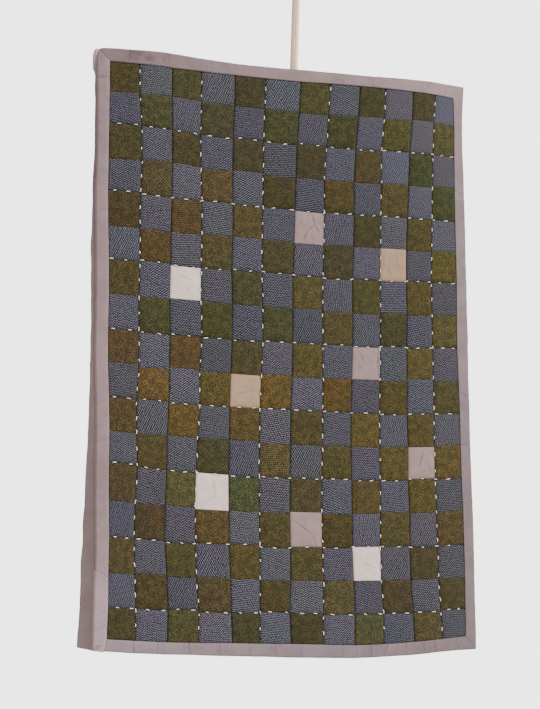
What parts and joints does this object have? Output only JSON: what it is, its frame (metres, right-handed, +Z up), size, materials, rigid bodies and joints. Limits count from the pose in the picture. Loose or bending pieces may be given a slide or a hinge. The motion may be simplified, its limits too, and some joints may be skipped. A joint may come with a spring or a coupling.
{
  "type": "quilted wall hanging with cord",
  "caption": "Small quilted patchwork wall hanging with running stitches and a bound edge, hung by a doubled cord from the middle of its top edge.",
  "frame": {"origin": "middle of the top edge, where the cord holds the cloth", "axes": "+Z up the wall, +Y towards the wall, the patched front faces -Y"},
  "size_m": [0.3758, 0.0385, 0.6394],
  "materials": {
    "patchwork": "matte twill",
    "binding": "matte plain weave",
    "back_cloth": "matte plain weave",
    "cord": "soft twisted cotton"
  },
  "bodies": {
    "root": {"quilt_panel": "patchwork", "binding_left_upper": "binding", "binding_left_lower": "binding", "binding_top": "binding", "binding_right": "binding", "binding_bottom": "binding", "back_margin": "back_cloth", "hanging_cord": "cord"}
  },
  "joints": []
}
